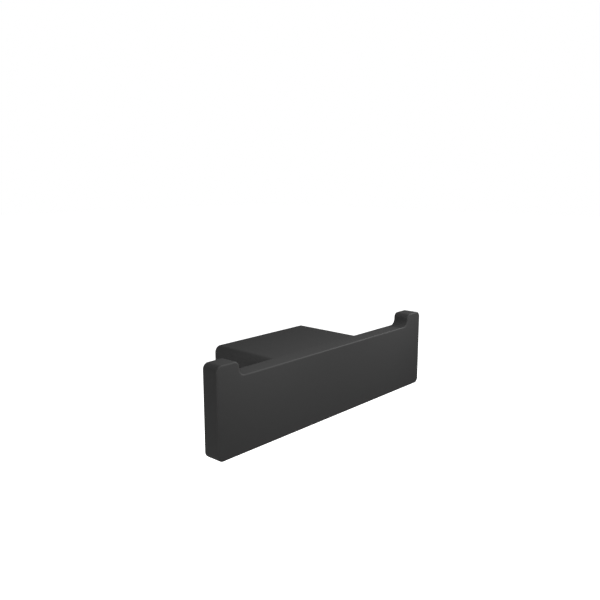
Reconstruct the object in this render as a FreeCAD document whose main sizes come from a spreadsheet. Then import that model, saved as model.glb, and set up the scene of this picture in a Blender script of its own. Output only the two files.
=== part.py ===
"""A double robe hook for a bathroom wall: a flat bar with two upturned ends, on a square post.

The bar and the post are one zinc casting. The post is open at the wall, where it slides over a
small bracket that two countersunk screws hold to the wall. A grub screw in the underside of the
post bears on a vee groove in the bracket, draws the casting back to the wall and locks it.

Frame, in millimetres: X runs along the bar, the wall is the plane Y = 0 with the hook on its
negative side, and Z is up. The origin is the middle of the post's end, on the wall.
"""
import FreeCAD
import Part
import Sketcher
import math
import os

SIZES = {
    # the bar
    "bar_length": 110,
    "bar_height": 30,
    "bar_thickness": 6.6,
    "notch_depth": 4.75,
    "prong_width": 9,
    "bar_corner_radius": 2,
    "prong_inner_radius": 1.9,
    "notch_fillet": 2.4,
    "bar_edge_radius": 0.5,
    # the post
    "post_width": 48.5,
    "post_length": 29.5,
    "post_step": 1,
    "post_edge_radius": 2.4,
    "post_wall": 3,
    # the hollow inside the post: a socket for the bracket, then a narrower core
    "socket_corner_radius": 1.2,
    "socket_end_gap": 0.6,
    "core_ledge": 1.2,
    "core_web": 2,
    "core_draft": 1,
    "core_corner_radius": 2,
    # the bracket on the wall
    "bracket_thickness": 8,
    "bracket_gap": 0.3,
    "bracket_lead_in": 0.6,
    "slot_width": 4.5,
    "slot_length": 7,
    "slot_end_margin": 3.55,
    "screw_head_width": 8.3,
    "groove_depth": 2.2,
    # the grub screw
    "grub_diameter": 5,
    "grub_length": 5,
    "grub_tip_width": 0.5,
    "grub_end_chamfer": 0.4,
    "grub_gap": 0.05,
    "grub_draw": 0.3,
    "key_width": 2.5,
    "key_depth": 2.4,
    "thread_mouth_chamfer": 0.3,
}

# Sizes that follow from the driving ones, as formulas on the sheet.
BAND_HEIGHT = "(sizes.bar_height - sizes.notch_depth)"
BAND_HALF = f"({BAND_HEIGHT} / 2)"
POST_HEIGHT = f"({BAND_HEIGHT} - 2 * sizes.post_step)"
SOCKET_WIDTH = "(sizes.post_width - 2 * sizes.post_wall)"
SOCKET_HEIGHT = f"({POST_HEIGHT} - 2 * sizes.post_wall)"
SOCKET_DEPTH = "(sizes.bracket_thickness + sizes.socket_end_gap)"
CORE_WIDTH = f"({SOCKET_WIDTH} - 2 * sizes.core_ledge)"
CORE_HEIGHT = f"({SOCKET_HEIGHT} - 2 * sizes.core_ledge)"
CORE_DEPTH = f"(sizes.post_length - {SOCKET_DEPTH} - sizes.core_web)"
BRACKET_WIDTH = f"({SOCKET_WIDTH} - 2 * sizes.bracket_gap)"
BRACKET_TOP = f"({SOCKET_HEIGHT} / 2)"
BRACKET_BOTTOM = f"(2 * sizes.bracket_gap - {SOCKET_HEIGHT} / 2)"
SLOT_RUN = "(sizes.slot_length - sizes.slot_width)"
SLOT_REACH = f"({BRACKET_WIDTH} / 2 - sizes.slot_end_margin)"
SLOT_MIDDLE = f"({SLOT_REACH} - (sizes.screw_head_width + {SLOT_RUN}) / 2)"
# The groove runs along the middle of the bracket. The grub screw stands a little further out from
# the wall than the groove, so its cone rides on the groove's outer flank and draws the post back.
GROOVE_SETBACK = "(sizes.bracket_thickness / 2)"
GROOVE_TOP = f"({BRACKET_BOTTOM} + sizes.groove_depth)"
GRUB_SETBACK = f"({GROOVE_SETBACK} + sizes.grub_draw)"
GRUB_TOP = f"({GROOVE_TOP} - sizes.grub_draw - sqrt(2) * sizes.grub_gap - sizes.grub_tip_width / 2)"
# The inner wall of a prong is shared by the fillet at its foot and the rounding at its head, and the
# rounding also leaves the prong a level top.
FOOT_SHARE, HEAD_SHARE, TOP_SHARE = 0.55, 0.43, 0.45
NOTCH_FILLET = f"min(sizes.notch_fillet; {FOOT_SHARE} * sizes.notch_depth)"
PRONG_ROUNDING = (f"min(sizes.prong_inner_radius; {HEAD_SHARE} * sizes.notch_depth; "
                  f"{TOP_SHARE} * sizes.prong_width)")

# The distance, in millimetres, under which two places count as one.
TOUCH = 1e-4

doc = FreeCAD.newDocument("robe_hook")
sheet = doc.addObject("Spreadsheet::Sheet", "sizes")
for row, (name, size) in enumerate(SIZES.items(), start=1):
    sheet.set(f"A{row}", name)
    sheet.set(f"B{row}", str(size))
    sheet.setAlias(f"B{row}", name)
doc.recompute()


def mm(formula):
    """The present value of a formula on the sheet."""
    return float(sheet.evalExpression(formula))


def new_body(name):
    """An empty body whose label names the piece."""
    body = doc.addObject("PartDesign::Body", name)
    body.Label = name
    doc.recompute()
    return body


def new_sketch(body, name, plane, offset="0"):
    """A sketch on one of the body's own planes, moved along the plane's normal by a formula."""
    sketch = body.newObject("Sketcher::SketchObject", name)
    base = next(item for item in body.Origin.OriginFeatures if item.Role == plane)
    sketch.AttachmentSupport = [(base, "")]
    sketch.MapMode = "FlatFace"
    sketch.setExpression("AttachmentOffset.Base.z", offset)
    return sketch


def dimension(sketch, kind, where, formula):
    """A dimension of the sketch that follows a formula on the sheet."""
    index = sketch.addConstraint(Sketcher.Constraint(kind, *where, mm(formula)))
    sketch.setExpression(f"Constraints[{index}]", formula)


def pin_point(sketch, element, point, across, up):
    """Holds one point of the sketch at a pair of formulas."""
    dimension(sketch, "DistanceX", (element, point), across)
    dimension(sketch, "DistanceY", (element, point), up)


def draw_polygon(sketch, corners):
    """Straight sides through corners that are each a pair of formulas, across and up."""
    points = [FreeCAD.Vector(mm(across), mm(up), 0) for across, up in corners]
    first = sketch.GeometryCount
    count = len(corners)
    for i in range(count):
        sketch.addGeometry(Part.LineSegment(points[i], points[(i + 1) % count]))
    for i in range(count):
        sketch.addConstraint(Sketcher.Constraint("Coincident", first + i, 2, first + (i + 1) % count, 1))
    for i, (across, up) in enumerate(corners):
        pin_point(sketch, first + i, 1, across, up)


def draw_rounded_rectangle(sketch, width, low, high, radius):
    """A rectangle about the upright axis, between two heights, with an arc at each corner."""
    side, bottom, top, bend = mm(f"{width} / 2"), mm(low), mm(high), mm(radius)
    skip = bend * (1 - math.sqrt(0.5))
    start = sketch.GeometryCount
    for right, up in ((-1, -1), (1, -1), (1, 1), (-1, 1)):
        x, y = right * side, top if up > 0 else bottom
        level = FreeCAD.Vector(x - right * bend, y, 0)
        middle = FreeCAD.Vector(x - right * skip, y - up * skip, 0)
        upright = FreeCAD.Vector(x, y - up * bend, 0)
        first, last = (upright, level) if right == up else (level, upright)
        sketch.addGeometry(Part.Arc(first, middle, last))
    for arc in range(4):
        leaves = sketch.getPoint(start + arc, 2)
        meets = sketch.getPoint(start + (arc + 1) % 4, 1)
        sketch.addGeometry(Part.LineSegment(leaves, meets))
    for arc in range(4):
        line = start + 4 + arc
        sketch.addConstraint(Sketcher.Constraint("Tangent", start + arc, 2, line, 1))
        sketch.addConstraint(Sketcher.Constraint("Tangent", line, 2, start + (arc + 1) % 4, 1))
        sketch.addConstraint(Sketcher.Constraint("Horizontal" if arc % 2 == 0 else "Vertical", line))
        if arc:
            sketch.addConstraint(Sketcher.Constraint("Equal", start, start + arc))
    dimension(sketch, "Radius", (start,), radius)
    dimension(sketch, "DistanceY", (start + 4, 1), low)
    dimension(sketch, "DistanceX", (start + 5, 1), f"{width} / 2")
    dimension(sketch, "DistanceY", (start + 6, 1), high)
    dimension(sketch, "DistanceX", (start + 7, 1), f"-{width} / 2")


def draw_slot(sketch, middle, run, width):
    """A level slot whose round ends are a run apart, its middle on the level axis."""
    radius = mm(f"{width} / 2")
    left = FreeCAD.Vector(mm(f"{middle} - {run} / 2"), 0, 0)
    right = FreeCAD.Vector(mm(f"{middle} + {run} / 2"), 0, 0)
    drop = FreeCAD.Vector(0, radius, 0)
    out = FreeCAD.Vector(radius, 0, 0)
    start = sketch.GeometryCount
    sketch.addGeometry(Part.Arc(left + drop, left - out, left - drop))
    sketch.addGeometry(Part.LineSegment(left - drop, right - drop))
    sketch.addGeometry(Part.Arc(right - drop, right + out, right + drop))
    sketch.addGeometry(Part.LineSegment(right + drop, left + drop))
    for i in range(4):
        sketch.addConstraint(Sketcher.Constraint("Tangent", start + i, 2, start + (i + 1) % 4, 1))
    sketch.addConstraint(Sketcher.Constraint("Equal", start, start + 2))
    dimension(sketch, "Radius", (start,), f"{width} / 2")
    pin_point(sketch, start, 3, f"{middle} - {run} / 2", "0")
    pin_point(sketch, start + 2, 3, f"{middle} + {run} / 2", "0")


def pad(body, sketch, name, length):
    """Metal raised on the sketch, along its normal."""
    feature = body.newObject("PartDesign::Pad", name)
    feature.Profile = sketch
    feature.setExpression("Length", length)
    doc.recompute()


def pocket(body, sketch, name, length, draft=None, both_ways=False):
    """A hollow cut along the sketch's normal, or to both sides of it. Taking no metal away is an error."""
    before = body.Shape.Volume
    feature = body.newObject("PartDesign::Pocket", name)
    feature.Profile = sketch
    feature.Reversed = True
    if both_ways:
        feature.SideType = "Symmetric"
    feature.setExpression("Length", length)
    if draft:
        feature.setExpression("TaperAngle", draft)
    doc.recompute()
    if body.Shape.Volume > before - TOUCH:
        raise ValueError(f"{name} cut nothing")


def edges_where(body, test):
    """The names of the body's edges that pass a test on their box and their middle point."""
    names = []
    for number, edge in enumerate(body.Shape.Edges, start=1):
        middle = edge.valueAt((edge.FirstParameter + edge.LastParameter) / 2)
        if test(edge, edge.BoundBox, middle):
            names.append(f"Edge{number}")
    return names


def soften(body, kind, name, size_name, formula, test):
    """A fillet or a chamfer on the edges that pass the test."""
    names = edges_where(body, test)
    if not names:
        raise ValueError(f"{name} found no edge")
    base = body.Tip
    feature = body.newObject(f"PartDesign::{kind}", name)
    feature.Base = (base, names)
    feature.setExpression(size_name, formula)
    doc.recompute()


def fillet(body, name, radius, test):
    """Rounds the edges that pass the test."""
    soften(body, "Fillet", name, "Radius", radius, test)


def chamfer(body, name, size, test):
    """Bevels the edges that pass the test."""
    soften(body, "Chamfer", name, "Size", size, test)


def near(value, target):
    """True where two places are the same but for rounding."""
    return abs(value - target) < TOUCH


def runs_outwards(edge, box):
    """True for a straight edge along Y."""
    return edge.Curve.TypeId == "Part::GeomLine" and box.XLength < TOUCH and box.ZLength < TOUCH


def make_hook():
    """The casting: the bar with its two prongs, the post, and the hollow that fits the bracket."""
    body = new_body("hook")
    half = "sizes.bar_length / 2"
    inner = "(sizes.bar_length / 2 - sizes.prong_width)"
    top = f"({BAND_HALF} + sizes.notch_depth)"

    outline = new_sketch(body, "bar_outline", "XZ_Plane", "sizes.post_length")
    draw_polygon(outline, [
        (f"-{half}", f"-{BAND_HALF}"), (half, f"-{BAND_HALF}"), (half, top), (inner, top),
        (inner, BAND_HALF), (f"-{inner}", BAND_HALF), (f"-{inner}", top), (f"-{half}", top),
    ])
    pad(body, outline, "bar", "sizes.bar_thickness")
    end, step, head = mm(half), mm(inner), mm(top)
    fillet(body, "bar_corners", "sizes.bar_corner_radius",
           lambda edge, box, middle: runs_outwards(edge, box) and near(abs(middle.x), end))
    fillet(body, "prong_heads", PRONG_ROUNDING,
           lambda edge, box, middle: runs_outwards(edge, box) and near(abs(middle.x), step)
           and near(middle.z, head))
    fillet(body, "prong_feet", NOTCH_FILLET,
           lambda edge, box, middle: runs_outwards(edge, box) and near(abs(middle.x), step)
           and near(middle.z, mm(BAND_HALF)))
    fillet(body, "bar_rims", "sizes.bar_edge_radius", lambda edge, box, middle: box.YLength < TOUCH)

    section = new_sketch(body, "post_section", "XZ_Plane")
    draw_rounded_rectangle(section, "sizes.post_width", f"-{POST_HEIGHT} / 2", f"{POST_HEIGHT} / 2",
                           "sizes.post_edge_radius")
    pad(body, section, "post", "sizes.post_length")

    socket = new_sketch(body, "socket_outline", "XZ_Plane")
    draw_rounded_rectangle(socket, SOCKET_WIDTH, f"-{SOCKET_HEIGHT} / 2", f"{SOCKET_HEIGHT} / 2",
                           "sizes.socket_corner_radius")
    pocket(body, socket, "socket", SOCKET_DEPTH)

    core = new_sketch(body, "core_outline", "XZ_Plane", SOCKET_DEPTH)
    draw_rounded_rectangle(core, CORE_WIDTH, f"-{CORE_HEIGHT} / 2", f"{CORE_HEIGHT} / 2",
                           "sizes.core_corner_radius")
    pocket(body, core, "core", CORE_DEPTH, draft="-sizes.core_draft")

    mouth = new_sketch(body, "thread_hole_outline", "XY_Plane", f"-{POST_HEIGHT} / 2")
    radius = "(sizes.grub_diameter / 2 + sizes.grub_gap)"
    middle = FreeCAD.Vector(0, -mm(GRUB_SETBACK), 0)
    mouth.addGeometry(Part.Circle(middle, FreeCAD.Vector(0, 0, 1), mm(radius)))
    dimension(mouth, "Radius", (0,), radius)
    pin_point(mouth, 0, 3, "0", f"-{GRUB_SETBACK}")
    pocket(body, mouth, "thread_hole", "sizes.post_wall + sizes.bracket_gap")
    underside = -mm(f"{POST_HEIGHT} / 2")
    chamfer(body, "thread_mouth", "sizes.thread_mouth_chamfer",
            lambda edge, box, middle: near(box.ZMax, underside) and edge.Curve.TypeId == "Part::GeomCircle"
            and near(edge.Curve.Radius, mm(radius)))
    return body


def make_bracket():
    """The bracket: a block with two countersunk slots and a vee groove along its underside."""
    body = new_body("wall_bracket")
    outline = new_sketch(body, "bracket_outline", "XZ_Plane")
    draw_rounded_rectangle(outline, BRACKET_WIDTH, BRACKET_BOTTOM, BRACKET_TOP, "sizes.socket_corner_radius")
    pad(body, outline, "block", "sizes.bracket_thickness")
    front = -mm("sizes.bracket_thickness")
    chamfer(body, "lead_in", "sizes.bracket_lead_in",
            lambda edge, box, middle: box.YLength < TOUCH and near(middle.y, front))

    slots = new_sketch(body, "slot_outlines", "XZ_Plane")
    for middle in (f"-{SLOT_MIDDLE}", SLOT_MIDDLE):
        draw_slot(slots, middle, SLOT_RUN, "sizes.slot_width")
    pocket(body, slots, "screw_slots", "sizes.bracket_thickness")
    across, up = mm(SLOT_REACH), mm("sizes.slot_width / 2")
    chamfer(body, "countersinks", "(sizes.screw_head_width - sizes.slot_width) / 2",
            lambda edge, box, middle: box.YLength < TOUCH and near(middle.y, front)
            and abs(middle.x) < across and abs(middle.z) < up + TOUCH)

    groove = new_sketch(body, "groove_section", "YZ_Plane")
    draw_polygon(groove, [
        (f"-{GROOVE_SETBACK} - sizes.groove_depth", BRACKET_BOTTOM),
        (f"-{GROOVE_SETBACK} + sizes.groove_depth", BRACKET_BOTTOM),
        (f"-{GROOVE_SETBACK}", GROOVE_TOP),
    ])
    pocket(body, groove, "vee_groove", BRACKET_WIDTH, both_ways=True)
    return body


def make_grub_screw():
    """The grub screw, point up: a headless screw with a right-angled cone and a hexagon socket."""
    body = new_body("grub_screw")
    radius = "sizes.grub_diameter / 2"
    tip = "sizes.grub_tip_width / 2"
    profile = new_sketch(body, "screw_profile", "XZ_Plane")
    draw_polygon(profile, [
        ("0", "0"), (f"{radius} - sizes.grub_end_chamfer", "0"), (radius, "sizes.grub_end_chamfer"),
        (radius, f"sizes.grub_length - ({radius} - {tip})"), (tip, "sizes.grub_length"),
        ("0", "sizes.grub_length"),
    ])
    turned = body.newObject("PartDesign::Revolution", "turned_blank")
    turned.Profile = profile
    turned.ReferenceAxis = (profile, ["V_Axis"])
    turned.Angle = 360
    doc.recompute()

    socket = new_sketch(body, "key_outline", "XY_Plane")
    corner = "sizes.key_width / sqrt(3)"
    draw_polygon(socket, [(f"{corner} * cos({turn} deg)", f"{corner} * sin({turn} deg)")
                          for turn in range(0, 360, 60)])
    pocket(body, socket, "key_socket", "sizes.key_depth")
    body.setExpression("Placement.Base.y", f"-{GRUB_SETBACK}")
    body.setExpression("Placement.Base.z", f"{GRUB_TOP} - sizes.grub_length")
    return body


def write_pieces(bodies):
    """Writes each piece to its own file, once nothing in the document has failed."""
    doc.recompute()
    for item in doc.Objects:
        if {"Invalid", "Error"} & set(item.State):
            raise ValueError(f"{item.Label} failed: {item.State}")
    os.makedirs("parts", exist_ok=True)
    for body in bodies:
        if body.Shape.isNull() or not body.Shape.isValid() or len(body.Shape.Solids) != 1:
            raise ValueError(f"{body.Label} is not one sound solid")
        body.Shape.exportStep(f"parts/{body.Label}.step")
        box = body.Shape.BoundBox
        print(f"{body.Label}: {body.Shape.Volume:.1f} mm3, {len(body.Shape.Faces)} faces, "
              f"x {box.XMin:.2f} to {box.XMax:.2f}, y {box.YMin:.2f} to {box.YMax:.2f}, "
              f"z {box.ZMin:.2f} to {box.ZMax:.2f}")


write_pieces([make_hook(), make_bracket(), make_grub_screw()])
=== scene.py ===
# %% [markdown]
# A double robe hook, dressed for its picture.
#
# The object is a matte black hook for a bathroom wall: a flat bar with two upturned ends, cast in
# one piece with the square post behind it. Inside the post, out of sight, a zinc bracket is screwed
# to the wall and a grub screw locks the hook to it. The solids come from the frame at their real
# size, so this lesson is about what they lack: the finish of each metal, the fine threads, the light
# and the camera.

# %% The frame
import bmesh
import bpy
import math
import numpy as np
from mathutils import Matrix, Vector


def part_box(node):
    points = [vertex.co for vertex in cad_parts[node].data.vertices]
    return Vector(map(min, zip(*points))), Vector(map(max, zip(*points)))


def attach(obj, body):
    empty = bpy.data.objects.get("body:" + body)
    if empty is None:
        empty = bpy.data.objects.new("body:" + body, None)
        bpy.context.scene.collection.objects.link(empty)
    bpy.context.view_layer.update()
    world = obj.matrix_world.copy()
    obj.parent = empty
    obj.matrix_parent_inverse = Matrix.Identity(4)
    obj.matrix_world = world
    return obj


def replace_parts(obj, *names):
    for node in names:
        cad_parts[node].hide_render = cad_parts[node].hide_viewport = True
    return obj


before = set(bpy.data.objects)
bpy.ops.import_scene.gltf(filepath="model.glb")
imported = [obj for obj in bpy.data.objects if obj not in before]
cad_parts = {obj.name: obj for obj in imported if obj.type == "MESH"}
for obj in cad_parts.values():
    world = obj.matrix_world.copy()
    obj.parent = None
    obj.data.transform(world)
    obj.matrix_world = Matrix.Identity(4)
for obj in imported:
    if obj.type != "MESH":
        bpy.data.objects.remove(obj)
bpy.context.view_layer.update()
print("solids in the frame:", sorted(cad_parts))

# %% [markdown]
# Lengths are written in millimetres and turned into metres with MM, because the frame is in metres.
# Every place is measured on the solids, so that nothing is fitted by eye. A box is enough for the
# bracket and the screw. The hook is a bar and a post in one, so each is measured on its own corners:
# the bar's back is the far side of whatever sticks out past the post, and the post is whatever lies
# behind it. The hook hangs on the wall plane Y = 0 and its bar faces -Y.

# %% Measures taken from the solids
MM = 0.001
MICRON = 0.001 * MM
hook_low, hook_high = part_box("hook")
bracket_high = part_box("wall_bracket")[1]
screw_low, screw_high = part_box("grub_screw")
SCREW_X = (screw_low.x + screw_high.x) / 2
SCREW_Y = (screw_low.y + screw_high.y) / 2
SCREW_RADIUS = (screw_high.x - screw_low.x) / 2
PAST_POST = 0.9 * hook_high.x
CLEAR_OF_BAR = 1 * MM


def corners(node):
    """The corners of a solid's triangles, one in each row."""
    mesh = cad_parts[node].data
    flat = np.empty(3 * len(mesh.vertices))
    mesh.vertices.foreach_get("co", flat)
    return flat.reshape(-1, 3)


hook_corners = corners("hook")
BAR_BACK = hook_corners[hook_corners[:, 0] > PAST_POST, 1].max()
post_corners = hook_corners[hook_corners[:, 1] > BAR_BACK + CLEAR_OF_BAR]
POST_UNDERSIDE, POST_TOP = post_corners[:, 2].min(), post_corners[:, 2].max()
POST_WALL = POST_TOP - bracket_high.z
print("hook, mm:", [round(side / MM, 2) for side in hook_high - hook_low])
print("bar and post wall, mm:", round((BAR_BACK - hook_low.y) / MM, 2), round(POST_WALL / MM, 2))
print("grub screw, mm:", round(2 * SCREW_RADIUS / MM, 2), "x", round((screw_high.z - screw_low.z) / MM, 2))

# %% [markdown]
# The camera stands to the left of the bar and a little above it. It could be placed by hand and
# nudged until the picture agrees, but a camera has only a few numbers and each has a meaning: which
# way it looks from, how far off it is, how long its lens is, and what it aims at. These were worked
# out from the corners of the hook in the photograph, then from its whole outline. The lens is counted
# in pixels too: a lens of as many pixels as the picture is wide takes in an object as wide as it is
# far off. The aim is counted from the middle of the bar's lower front edge, along the picture's own
# right and up.

# %% The camera
AZIMUTH = math.radians(-48.23)
ELEVATION = math.radians(10.40)
DISTANCE = 241.3 * MM
SENSOR = 36.0
PICTURE_PIXELS, LENS_PIXELS = 600, 673.9
LENS = SENSOR * LENS_PIXELS / PICTURE_PIXELS
AIM_RIGHT, AIM_UP = -12.48 * MM, 41.56 * MM
NEAREST_SEEN, FARTHEST_SEEN = 10 * MM, 20.0


def direction(azimuth, elevation):
    """The way from the object to a viewer or a lamp. Azimuth 0 is straight in front of the bar."""
    level = math.cos(elevation)
    return Vector((math.sin(azimuth) * level, -math.cos(azimuth) * level, math.sin(elevation)))


def make_camera():
    """A level camera, whose own axes are the picture's right, its up, and the way back from it."""
    back = direction(AZIMUTH, ELEVATION)
    right = Vector((0, 0, 1)).cross(back).normalized()
    up = back.cross(right)
    aim = Vector((0, hook_low.y, hook_low.z)) + AIM_RIGHT * right + AIM_UP * up
    data = bpy.data.cameras.new("camera")
    data.sensor_width, data.lens = SENSOR, LENS
    data.clip_start, data.clip_end = NEAREST_SEEN, FARTHEST_SEEN
    camera = bpy.data.objects.new("camera", data)
    facing = Matrix((right, up, back)).transposed().to_4x4()
    camera.matrix_world = Matrix.Translation(aim + DISTANCE * back) @ facing
    bpy.context.scene.collection.objects.link(camera)
    bpy.context.scene.camera = camera
    return camera


camera = make_camera()
print("camera, mm:", [round(place / MM, 1) for place in camera.matrix_world.translation])

# %% [markdown]
# The finishes are built from nodes. They could be wired in the editor, but written out, every depth
# and width in them is a real one. A few helpers keep each recipe short: one adds a node with its
# settings, one wires two sockets or sets a plain value, one does sums, and one is a smooth step.


# %% Nodes and wires
def add_node(tree, kind, **settings):
    """A node of this kind, with its properties set."""
    node = tree.nodes.new(kind)
    for name, value in settings.items():
        setattr(node, name, value)
    return node


def feed(tree, socket, source):
    """Wires an output to a socket, or sets the socket where the source is a plain value."""
    if isinstance(source, bpy.types.NodeSocket):
        tree.links.new(source, socket)
    else:
        socket.default_value = source


def calculate(tree, operation, *sources):
    """A Math node on one, two or three sources."""
    node = add_node(tree, "ShaderNodeMath", operation=operation)
    for socket, source in zip(node.inputs, sources):
        feed(tree, socket, source)
    return node.outputs[0]


def ramp(tree, source, low, high, at_low, at_high):
    """A smooth step: at_low up to low, at_high from high on."""
    node = add_node(tree, "ShaderNodeMapRange", interpolation_type="SMOOTHSTEP")
    for socket, value in zip(node.inputs, (source, low, high, at_low, at_high)):
        feed(tree, socket, value)
    return node.outputs[0]


# %% [markdown]
# The next helpers are what the three finishes share. Their patterns read the object's own coordinates
# in metres, so that a grain has the same real size on every piece and stays put from any side. There
# is a noise whose lumps have a size in metres, a blend of two colours or two numbers, and a bump
# whose depth is a real depth.


# %% Patterns, blends and relief
def places(tree):
    """The object's own coordinates, in metres."""
    return add_node(tree, "ShaderNodeTexCoord").outputs["Object"]


def axes(tree, vector):
    """The three parts of a vector."""
    node = add_node(tree, "ShaderNodeSeparateXYZ")
    feed(tree, node.inputs[0], vector)
    return node.outputs["X"], node.outputs["Y"], node.outputs["Z"]


def noise(tree, grain_size, detail=2.0):
    """Smooth random values from 0 to 1 whose lumps are about as wide as grain_size."""
    node = add_node(tree, "ShaderNodeTexNoise")
    feed(tree, node.inputs["Vector"], places(tree))
    feed(tree, node.inputs["Scale"], 1 / grain_size)
    feed(tree, node.inputs["Detail"], detail)
    return node.outputs["Fac"]


def mix(tree, share, first, second):
    """From the first number to the second, as the share goes from 0 to 1."""
    return calculate(tree, "MULTIPLY_ADD", share, calculate(tree, "SUBTRACT", second, first), first)


def blend_colours(tree, share, first, second):
    """From the first colour to the second, as the share goes from 0 to 1."""
    node = add_node(tree, "ShaderNodeMix", data_type="RGBA")
    feed(tree, node.inputs["Factor"], share)
    feed(tree, node.inputs["A"], first)
    feed(tree, node.inputs["B"], second)
    return node.outputs["Result"]


def relief(tree, height, depth, under=None):
    """A bump whose full height is depth, laid over another bump where one is given."""
    node = add_node(tree, "ShaderNodeBump")
    feed(tree, node.inputs["Height"], height)
    feed(tree, node.inputs["Distance"], depth)
    if under is not None:
        feed(tree, node.inputs["Normal"], under)
    return node.outputs["Normal"]


def new_finish(name):
    """A material with its node tree and its shader."""
    material = bpy.data.materials.new(name)
    material.use_nodes = True
    return material, material.node_tree, material.node_tree.nodes["Principled BSDF"]


# %% [markdown]
# Under the black, the hook is a zinc casting, and so is the bracket, which has nothing over it. Fresh
# from the die this metal is a dull pale grey with a cloudy skin. Only roughness tells it from
# polished metal, so the clouds drive both the colour and the roughness. These two are a function of
# their own, because the hook needs them too, wherever its coat is missing.

# %% The bare zinc
ZINC = (0.47, 0.48, 0.50, 1)
ZINC_DULL = (0.31, 0.32, 0.34, 1)
ZINC_ROUGHNESS, ZINC_DULL_ROUGHNESS = 0.40, 0.52
CLOUD_SIZE, CLOUD_DEPTH = 3.5 * MM, 12 * MICRON
CAST_GRAIN, CAST_GRAIN_DEPTH = 0.12 * MM, 2 * MICRON
NOISE_LOW, NOISE_HIGH = 0.3, 0.7   # most of a noise's values lie between these two


def cast_metal(tree):
    """Slow clouds, with the colour and the roughness that follow them."""
    clouds = noise(tree, CLOUD_SIZE, detail=5.0)
    colour = blend_colours(tree, clouds, ZINC_DULL, ZINC)
    roughness = ramp(tree, clouds, NOISE_LOW, NOISE_HIGH, ZINC_DULL_ROUGHNESS, ZINC_ROUGHNESS)
    return clouds, colour, roughness


def cast_zinc():
    """Cast metal whose skin rises and falls with the clouds, and has a fine grain over them."""
    material, tree, shader = new_finish("cast_zinc")
    clouds, colour, roughness = cast_metal(tree)
    shader.inputs["Metallic"].default_value = 1.0
    feed(tree, shader.inputs["Base Color"], colour)
    feed(tree, shader.inputs["Roughness"], roughness)
    cloudy = relief(tree, clouds, CLOUD_DEPTH)
    surface = relief(tree, noise(tree, CAST_GRAIN), CAST_GRAIN_DEPTH, under=cloudy)
    feed(tree, shader.inputs["Normal"], surface)
    return material


zinc = cast_zinc()
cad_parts["wall_bracket"].material_slots[0].material = zinc
print("finish of the wall bracket:", zinc.name, "with", len(zinc.node_tree.nodes), "nodes")

# %% [markdown]
# The black is a powder coat: plastic powder, sprayed dry and baked on. Matting agents break its skin
# up, so it hardly shines, and it sets with faint waves about 2 mm long under a much finer grain. One
# flat black would do from far off, but close up the eye looks for those two scales.
#
# Two things vary over the hook. The first is how smooth the thin rims round the bar are: loops slide
# over the upper ones and rub them. A rim's normal lies between the Y axis and the plane of the bar,
# so ny^2 (1 - ny^2) is a quarter in the middle of a rim and 0 on every flat side. A mask painted by
# hand could mark the rims too, but this one needs no painting and fits any bar.


# %% Where the coat is rubbed
RIM_STARTS, RIM_IS_FULL = 0.02, 0.18
RUB_STARTS, RUB_IS_FULL = -4 * MM, 9 * MM


def rim_share(tree):
    """1 on the small rims round the upper part of the bar, 0 on its flat sides and on the post."""
    facing = axes(tree, add_node(tree, "ShaderNodeNewGeometry").outputs["Normal"])[1]
    square = calculate(tree, "MULTIPLY", facing, facing)
    between = calculate(tree, "MULTIPLY", square, calculate(tree, "SUBTRACT", 1.0, square))
    rim = ramp(tree, between, RIM_STARTS, RIM_IS_FULL, 0.0, 1.0)
    _, y, z = axes(tree, places(tree))
    upper = ramp(tree, z, RUB_STARTS, RUB_IS_FULL, 0.0, 1.0)
    on_bar = calculate(tree, "LESS_THAN", y, BAR_BACK)
    return calculate(tree, "MULTIPLY", rim, calculate(tree, "MULTIPLY", upper, on_bar))


print("the rubbing fades in between, mm up:", round(RUB_STARTS / MM), "and", round(RUB_IS_FULL / MM))

# %% [markdown]
# The second is where there is no coat. Powder settles on the first edges it meets and hardly gets
# into a box, so it thins out inside the post, a few millimetres in from the wall. And the screw hole
# is drilled and tapped after coating, which leaves its bevel bare. Both places are simple solids, a
# box whose sides run in the middle of the post's walls, and a cylinder about the screw's axis. So a
# few comparisons on the object's own coordinates find them.

# %% Where the coat is missing
INSIDE_HALF_WIDTH = bracket_high.x + POST_WALL / 2
INSIDE_HALF_HEIGHT = bracket_high.z + POST_WALL / 2
INSIDE_END = BAR_BACK + CLEAR_OF_BAR
BARE_FROM, COATED_FROM = -9 * MM, -2 * MM
HOLE_PLAY, MOUTH_BEVEL, PAST_BEVEL = 0.05 * MM, 0.3 * MM, 0.01 * MM
HOLE_RADIUS = SCREW_RADIUS + HOLE_PLAY
MOUTH_RADIUS = HOLE_RADIUS + MOUTH_BEVEL + PAST_BEVEL


def inside_post(tree, x, y, z):
    """1 in the box that holds the hollow of the post, 0 outside it."""
    aside = calculate(tree, "SUBTRACT", calculate(tree, "ABSOLUTE", x), INSIDE_HALF_WIDTH)
    above = calculate(tree, "SUBTRACT", calculate(tree, "ABSOLUTE", z), INSIDE_HALF_HEIGHT)
    beyond = calculate(tree, "SUBTRACT", INSIDE_END, y)
    outside = calculate(tree, "MAXIMUM", calculate(tree, "MAXIMUM", aside, above), beyond)
    return calculate(tree, "LESS_THAN", outside, 0.0)


def in_screw_hole(tree, x, y, z):
    """1 under the middle of the post and within the hole's mouth, 0 elsewhere."""
    across, along = calculate(tree, "SUBTRACT", x, SCREW_X), calculate(tree, "SUBTRACT", y, SCREW_Y)
    square = calculate(tree, "MULTIPLY_ADD", across, across, calculate(tree, "MULTIPLY", along, along))
    near_axis = calculate(tree, "LESS_THAN", square, MOUTH_RADIUS ** 2)
    return calculate(tree, "MULTIPLY", near_axis, calculate(tree, "LESS_THAN", z, 0.0))


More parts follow.
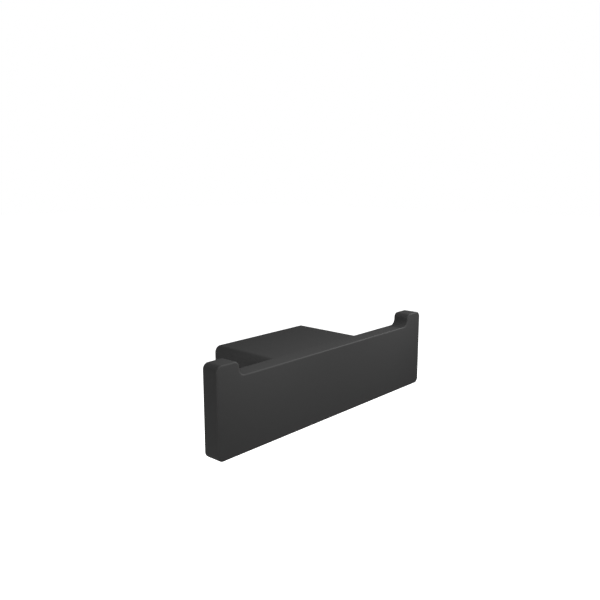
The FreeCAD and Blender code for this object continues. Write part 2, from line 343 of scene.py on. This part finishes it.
def bare_share(tree):
    """1 deep inside the post and in the screw hole, 0 on everything that the spray reaches."""
    x, y, z = axes(tree, places(tree))
    depth = ramp(tree, y, BARE_FROM, COATED_FROM, 1.0, 0.0)
    deep = calculate(tree, "MULTIPLY", inside_post(tree, x, y, z), depth)
    return calculate(tree, "MAXIMUM", deep, in_screw_hole(tree, x, y, z))


print("bare box, mm:", [round(2 * half / MM, 1) for half in (INSIDE_HALF_WIDTH, INSIDE_HALF_HEIGHT)])
print("bare mouth of the screw hole, mm across:", round(2 * MOUTH_RADIUS / MM, 2))

# %% [markdown]
# The finish itself blends the two recipes. Black plastic and bare metal differ in colour, in
# roughness and in being a metal at all, so all three follow the same mask.

# %% The black powder coat
COAT_BLACK = (0.0355, 0.0355, 0.0355, 1)
COAT_BLACK_DEEP = (0.0325, 0.0325, 0.0325, 1)
COAT_ROUGHNESS, COAT_ROUGHNESS_SPREAD = 0.95, 0.03
RUBBED_ROUGHNESS = 0.47
COAT_SHEEN = 0.04
POWDER_GRAIN, POWDER_GRAIN_DEPTH = 0.22 * MM, 1.2 * MICRON
WAVE_SIZE, WAVE_DEPTH = 2.0 * MM, 3 * MICRON


def baked_powder():
    """Black with a fine grain over slow waves, smoother on the rims, and bare where no powder is."""
    material, tree, shader = new_finish("baked_black_powder")
    grain, waves = noise(tree, POWDER_GRAIN), noise(tree, WAVE_SIZE, detail=1.0)
    smoothest, roughest = COAT_ROUGHNESS - COAT_ROUGHNESS_SPREAD, COAT_ROUGHNESS + COAT_ROUGHNESS_SPREAD
    rough = ramp(tree, grain, NOISE_LOW, NOISE_HIGH, smoothest, roughest)
    rough = mix(tree, rim_share(tree), rough, RUBBED_ROUGHNESS)
    black = blend_colours(tree, grain, COAT_BLACK_DEEP, COAT_BLACK)
    bare = bare_share(tree)
    _, metal, metal_rough = cast_metal(tree)
    feed(tree, shader.inputs["Base Color"], blend_colours(tree, bare, black, metal))
    feed(tree, shader.inputs["Roughness"], mix(tree, bare, rough, metal_rough))
    feed(tree, shader.inputs["Metallic"], bare)
    shader.inputs["Specular IOR Level"].default_value = COAT_SHEEN
    surface = relief(tree, grain, POWDER_GRAIN_DEPTH, under=relief(tree, waves, WAVE_DEPTH))
    feed(tree, shader.inputs["Normal"], surface)
    return material


powder = baked_powder()
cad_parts["hook"].material_slots[0].material = powder
print("finish of the hook:", powder.name, "with", len(powder.node_tree.nodes), "nodes")

# %% [markdown]
# The grub screw is turned from steel bar. The lathe leaves rings about its axis, finer than the
# thread, which draw a soft band of light round it. Rings are what a wave texture makes, once a
# mapping has moved its centre to the axis of the screw. At a scale of 1 its rings are pi / 10 apart,
# so the scale that gives the tool's own step is pi / 10 over that step.

# %% The turned steel
STEEL = (0.42, 0.42, 0.43, 1)
GROOVE_ROUGHNESS, CREST_ROUGHNESS = 0.36, 0.26
LATHE_STEP, LATHE_MARK_DEPTH = 0.08 * MM, 1.5 * MICRON
LATHE_CHATTER = 1.5


def turned_steel():
    """Grey steel with fine rings about the screw's own axis, a little smoother on their crests."""
    material, tree, shader = new_finish("turned_steel")
    about_axis = add_node(tree, "ShaderNodeMapping")
    feed(tree, about_axis.inputs["Vector"], places(tree))
    about_axis.inputs["Location"].default_value = (-SCREW_X, -SCREW_Y, 0)
    rings = add_node(tree, "ShaderNodeTexWave", wave_type="RINGS", rings_direction="Z")
    feed(tree, rings.inputs["Vector"], about_axis.outputs["Vector"])
    rings.inputs["Scale"].default_value = math.pi / 10 / LATHE_STEP
    rings.inputs["Distortion"].default_value = LATHE_CHATTER
    marks = rings.outputs["Fac"]
    shader.inputs["Metallic"].default_value = 1.0
    shader.inputs["Base Color"].default_value = STEEL
    feed(tree, shader.inputs["Roughness"], ramp(tree, marks, 0.0, 1.0, GROOVE_ROUGHNESS, CREST_ROUGHNESS))
    feed(tree, shader.inputs["Normal"], relief(tree, marks, LATHE_MARK_DEPTH))
    return material


steel = turned_steel()
print("finish of the grub screw:", steel.name, "with", len(steel.node_tree.nodes), "nodes")

# %% [markdown]
# The threads are what the solids leave out: there the grub screw is a plain cylinder in a plain
# hole. A thread could be made by sweeping a vee along a helix and cutting it away, which leaves a
# ragged end where it runs out on the point. Here the radius is a function of the turn and the height
# instead, so the screw and its hole can share it. An M5 thread climbs 0.8 mm a turn, its crests are
# flat for an eighth of that, and its standard depth is 0.6134 of it.

# %% The thread as a radius
PITCH = 0.8 * MM
CREST_HALF = PITCH / 16
THREAD_DEPTH = 0.6134 * PITCH
COLUMNS = 96
turn = np.arange(COLUMNS) * 2 * np.pi / COLUMNS


def thread_radius(height, crest_radius):
    """The radius of a right-hand thread with 60 degree flanks, at every turn and some heights.

    A crest stands where height / pitch - turn / 2 pi is a whole number and a half. Away from the
    crest's flat, the flank falls sqrt(3) for each step along the axis, down to the root.
    """
    along = np.mod(height / PITCH - turn / (2 * np.pi), 1)
    fall = np.sqrt(3) * (np.abs(along - 0.5) * PITCH - CREST_HALF)
    return crest_radius - np.clip(fall, 0, THREAD_DEPTH)


print("depth of the thread, mm:", round(THREAD_DEPTH / MM, 3))

# %% [markdown]
# Whatever has rings round an axis can be made by one helper. It lays quads between each ring and the
# next, closes the poles, marks the sharp edges and hands the piece to the frame. The points go in as
# one array, so there is no loop over them.


# %% From rings to a piece
MERGE_DISTANCE = 0.1 * MICRON
SHARP_ANGLE = math.radians(35)


def ring(radius, height):
    """Points round the screw's axis, where radius and height are one value or one for each turn."""
    radius, height = np.broadcast_arrays(radius, height, turn)[:2]
    return np.stack([SCREW_X + radius * np.cos(turn), SCREW_Y + radius * np.sin(turn), height], axis=-1)


def skin(name, rings, finish, joined=False):
    """A piece whose surface runs through rings of points, and from the last to the first if joined.

    Each quad takes two neighbours from one ring and two from the next. Rings that run outwards, then
    up, face outwards. A ring of radius 0 is a pole, where merging closes the skin.
    """
    points = np.concatenate([block.reshape(-1, COLUMNS, 3) for block in rings])
    corner = np.arange(points.shape[0] * COLUMNS).reshape(-1, COLUMNS)
    low, high = (corner, np.roll(corner, -1, axis=0)) if joined else (corner[:-1], corner[1:])
    quads = np.stack([low, np.roll(low, -1, axis=1), np.roll(high, -1, axis=1), high], axis=-1)
    mesh = bpy.data.meshes.new(name)
    mesh.from_pydata(points.reshape(-1, 3), [], quads.reshape(-1, 4))
    merged = bmesh.new()
    merged.from_mesh(mesh)
    bmesh.ops.remove_doubles(merged, verts=merged.verts, dist=MERGE_DISTANCE)
    volume = merged.calc_volume(signed=True)
    merged.to_mesh(mesh)
    merged.free()
    mesh.shade_smooth()
    mesh.set_sharp_from_angle(angle=SHARP_ANGLE)
    mesh.materials.append(finish)
    piece = bpy.data.objects.new(name, mesh)
    bpy.context.scene.collection.objects.link(piece)
    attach(piece, "root")
    print(name, "faces:", len(mesh.polygons), "volume, mm3:", round(volume / MM ** 3, 2))
    return piece


# %% [markdown]
# The real grub screw has no head. One end is a hexagon socket for a 2.5 mm key, with the drill's hole
# below it, and the other is a cone that bites on the bracket. The thread, the cone and the bevel of
# the end are three radii, each a function of the height, and the smallest of them counts. So the
# thread runs out on the cone by itself, as it does when a lathe turns the point after the thread.

# %% The grub screw
KEY_WIDTH, KEY_DEPTH = 2.5 * MM, 2.4 * MM
KEY_MOUTH = 1.6 * MM
DRILL_RADIUS, DRILL_DEPTH = 1.1 * MM, 2.7 * MM
END_BEVEL = 0.4 * MM
TIP_RADIUS = 0.25 * MM
THREAD_ROWS = 126


def make_grub_screw():
    """The screw from the bottom of its key socket, out over the end, and up the thread to the tip.

    The socket's wall is a hexagon, at half the key's width over cos(a), where a is the turn from the
    middle of the nearest flat. A cone bevels its mouth, so the mouth's edge rises and falls with it.
    The body's radius is the smallest of the thread's, of a bevel that widens as fast as it rises, and
    of a point that widens as fast as it falls below the tip.
    """
    foot, tip = screw_low.z, screw_high.z
    hexagon = KEY_WIDTH / 2 / np.cos(np.mod(turn, np.pi / 3) - np.pi / 6)
    heights = np.linspace(foot, tip, THREAD_ROWS)[:, None]
    bevel = SCREW_RADIUS - END_BEVEL + (heights - foot)
    cone = TIP_RADIUS + (tip - heights)
    body = np.minimum(thread_radius(heights, SCREW_RADIUS), np.minimum(bevel, cone))
    return skin("threaded_grub_screw", [
        ring(0, foot + DRILL_DEPTH), ring(DRILL_RADIUS, foot + KEY_DEPTH), ring(hexagon, foot + KEY_DEPTH),
        ring(hexagon, foot + KEY_MOUTH - hexagon), ring(KEY_MOUTH, foot), ring(body, heights), ring(0, tip),
    ], steel)


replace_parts(make_grub_screw(), "grub_screw")

# %% [markdown]
# The hole in the post has the same thread turned inside out. Its crests must lie in the screw's
# roots, which takes care when two helices are modelled apart. With the radius as a function it needs
# none: the hole's radius is the screw's, plus a running clearance, at the same turn and height.

# %% The thread in the post
THREAD_CLEARANCE = 0.04 * MM
SUNK = 0.05 * MM
HOLE_ROWS = 70


def make_tapped_thread():
    """A thin threaded lining of the hole, whose back and ends are sunk in the metal of the post.

    Its radius is the larger of the thread's and the hole's less the way to the nearer end, so that
    the thread runs out at both ends.
    """
    mouth, inner = POST_UNDERSIDE + MOUTH_BEVEL, POST_UNDERSIDE + POST_WALL
    heights = np.linspace(inner, mouth, HOLE_ROWS)[:, None]
    thread = thread_radius(heights, SCREW_RADIUS + THREAD_CLEARANCE)
    run_out = HOLE_RADIUS - np.minimum(heights - mouth, inner - heights)
    lining = np.maximum(thread, run_out)
    return skin("tapped_thread", [
        ring(lining, heights), ring(HOLE_RADIUS + SUNK, mouth), ring(HOLE_RADIUS + SUNK, inner),
    ], zinc, joined=True)


make_tapped_thread()

# %% [markdown]
# The hook stands in plain white. Two lights are kept apart here: what the eye sees, and what falls
# on the object. The world is pure white to the camera and to reflections, and dimmer for the soft
# light it casts, because at full strength it would wash the black out from all sides.

# %% The world
WORLD_LIGHT = 0.25
WHITE = (1, 1, 1, 1)


def seen_directly(tree):
    """1 for rays from the camera and for rays that a surface reflects or lets through, otherwise 0."""
    path = add_node(tree, "ShaderNodeLightPath").outputs
    seen = calculate(tree, "MAXIMUM", path["Is Camera Ray"], path["Is Glossy Ray"])
    return calculate(tree, "MAXIMUM", seen, path["Is Transmission Ray"])


def make_world():
    """White where it is seen, and WORLD_LIGHT where it only lights."""
    world = bpy.data.worlds.new("studio")
    bpy.context.scene.world = world
    world.use_nodes = True
    background = world.node_tree.nodes["Background"]
    background.inputs["Color"].default_value = WHITE
    strength = mix(world.node_tree, seen_directly(world.node_tree), WORLD_LIGHT, 1.0)
    feed(world.node_tree, background.inputs["Strength"], strength)


make_world()
bpy.context.scene.view_settings.view_transform = "Standard"
print("world light on the hook:", WORLD_LIGHT)

# %% [markdown]
# The hook hangs on a wall that the picture leaves out, so the floor lies well below it and only
# takes a faint shadow. It is pale itself, and a glow that only the eye sees lifts it to the white of
# the world behind it.

# %% The floor
FLOOR_DROP = 100 * MM
FLOOR_HALF = 3.0
FLOOR_PALE = 0.8
FLOOR_GLOW = 0.9


def make_floor():
    """A level square below the hook."""
    square = FLOOR_HALF * np.array([(-1, -1), (1, -1), (1, 1), (-1, 1)])
    points = np.column_stack([square, np.full(4, hook_low.z - FLOOR_DROP)])
    mesh = bpy.data.meshes.new("floor")
    mesh.from_pydata(points, [], [(0, 1, 2, 3)])
    floor = bpy.data.objects.new("floor", mesh)
    bpy.context.scene.collection.objects.link(floor)
    material, tree, shader = new_finish("pale_floor")
    shader.inputs["Base Color"].default_value = (FLOOR_PALE, FLOOR_PALE, FLOOR_PALE, 1)
    shader.inputs["Roughness"].default_value = 1.0
    shader.inputs["Specular IOR Level"].default_value = 0.0
    shader.inputs["Emission Color"].default_value = WHITE
    glow = calculate(tree, "MULTIPLY", seen_directly(tree), FLOOR_GLOW)
    feed(tree, shader.inputs["Emission Strength"], glow)
    mesh.materials.append(material)
    return floor


make_floor()
print("floor below the hook, mm:", round(FLOOR_DROP / MM))

# %% [markdown]
# Five soft lamps shape the hook. Two hang close above the front of the bar, which is why the light
# fades down its face. A low one on the left fills the end of the bar evenly from top to bottom. A
# small one far off on the right draws the bright lines along the upper rims. The last stands behind,
# for whoever walks round the hook, and so low that nothing which shows from the front catches it. It
# is kept out of reflections, because the bare bracket would mirror it as a white patch.
#
# A lamp's power means little by itself, since the light thins with the square of the distance. So
# each lamp has a level instead: how much light reaches the hook, where 1 is what a fully white world
# would give. At a distance d that takes a power of level * pi^2 * d^2.

# %% The lamps
LAMP_AIM = Vector((0, -33 * MM, 0))
LAMPS = {
    # name: azimuth and elevation in degrees, distance and side in millimetres, level
    "front_left": (-42, 44, 87, 32, 0.80),
    "front_right": (49, 33, 75, 41, 0.64),
    "low_left": (-84, -9, 213, 88, 0.34),
    "rim": (81, 36, 577, 50, 0.56),
    "behind": (180, -5, 350, 200, 0.6),
}


def make_lamp(name, azimuth, elevation, distance, side, level):
    """A square lamp that shines at the middle of the bar, and that the camera can't see."""
    data = bpy.data.lights.new(name, "AREA")
    data.shape, data.size = "SQUARE", side * MM
    data.energy = level * math.pi ** 2 * (distance * MM) ** 2
    back = direction(math.radians(azimuth), math.radians(elevation))
    lamp = bpy.data.objects.new(name, data)
    facing = back.to_track_quat("Z", "Y").to_matrix().to_4x4()
    lamp.matrix_world = Matrix.Translation(LAMP_AIM + distance * MM * back) @ facing
    lamp.visible_camera = False
    bpy.context.scene.collection.objects.link(lamp)
    print(name, "lamp, W:", round(data.energy, 3))
    return lamp


lamps = {name: make_lamp(name, *numbers) for name, numbers in LAMPS.items()}
lamps["behind"].visible_glossy = False
